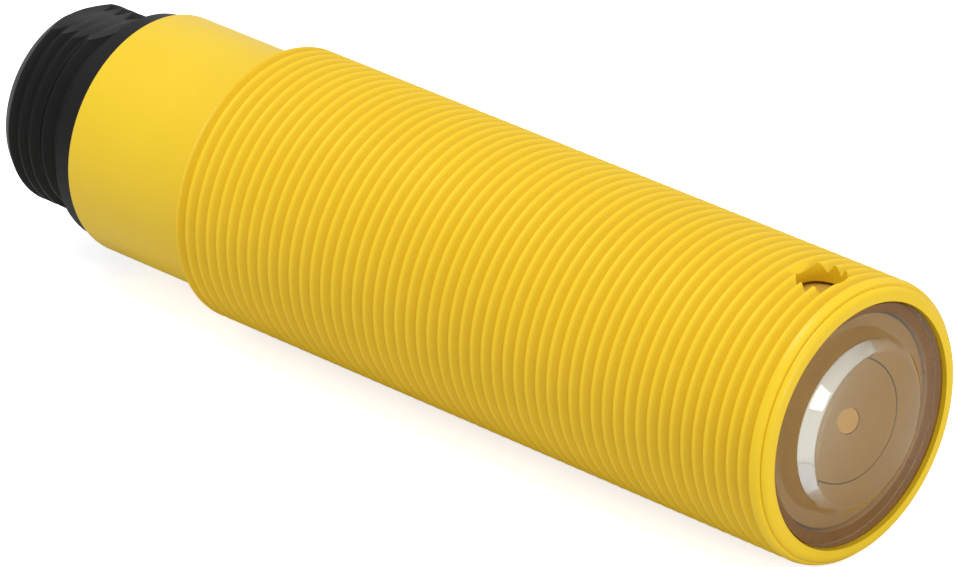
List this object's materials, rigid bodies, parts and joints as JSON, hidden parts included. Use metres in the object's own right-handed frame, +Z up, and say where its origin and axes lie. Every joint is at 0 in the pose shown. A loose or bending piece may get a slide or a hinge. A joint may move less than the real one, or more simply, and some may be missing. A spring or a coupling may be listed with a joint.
{
  "type": "photoelectric sensor",
  "caption": "Barrel photoelectric sensor with a threaded yellow housing, a domed smoky lens, an indicator hole in its side and a black screw connector.",
  "frame": {"origin": "on the barrel's axis, in the plane of its front rim", "axes": "+Y along the barrel from the lens to the connector, +Z up through the indicator hole and the connector's flat"},
  "size_m": [0.03, 0.1134, 0.03],
  "materials": {
    "yellow_barrel": "moulded, satin on the thread and smoother on the tail",
    "smoked_lens": "clear smoky-brown moulding, polished",
    "black_rubber": "matt",
    "ochre_moulding": "moulded, satin",
    "diode_can": "clear yellow resin",
    "circuit_board": "green solder mask over glass laminate",
    "black_moulding": "moulded chip package",
    "natural_moulding": "moulded, uncoloured",
    "capacitor_can": "drawn can",
    "ferrite": "sintered core with its winding",
    "tinned_steel": "tin plate",
    "gold_contact": "gold plate",
    "potting_resin": "cured resin",
    "green_lamp": "clear resin",
    "amber_lamp": "clear resin",
    "lead_brown": "insulation",
    "lead_white": "insulation",
    "lead_blue": "insulation",
    "lead_black": "insulation",
    "black_connector": "moulded, semi-gloss",
    "grey_insert": "moulded"
  },
  "bodies": {
    "root": {"barrel_housing": "yellow_barrel", "front_lens": "smoked_lens", "lens_seal_ring": "black_rubber", "optics_holder": "ochre_moulding", "aperture_plate": "ochre_moulding", "photo_diode": "diode_can", "front_board": "circuit_board", "indicator_lamp_green": "green_lamp", "indicator_lamp_amber": "amber_lamp", "board_header": "black_moulding", "main_board": "circuit_board", "board_rail_left": "natural_moulding", "board_rail_right": "natural_moulding", "microcontroller": "black_moulding", "voltage_regulator": "black_moulding", "protection_diode": "black_moulding", "output_transistor_left": "black_moulding", "output_transistor_right": "black_moulding", "amplifier_chip": "black_moulding", "amplifier_shield": "tinned_steel", "filter_capacitor": "capacitor_can", "power_inductor": "ferrite", "lead_brown": "lead_brown", "lead_white": "lead_white", "lead_blue": "lead_blue", "lead_black": "lead_black", "potting_plug": "potting_resin", "connector_body": "black_connector", "connector_seal_ring": "black_rubber", "connector_insert": "grey_insert", "contact_pin_1": "gold_contact", "contact_pin_2": "gold_contact", "contact_pin_3": "gold_contact", "contact_pin_4": "gold_contact"}
  },
  "joints": []
}
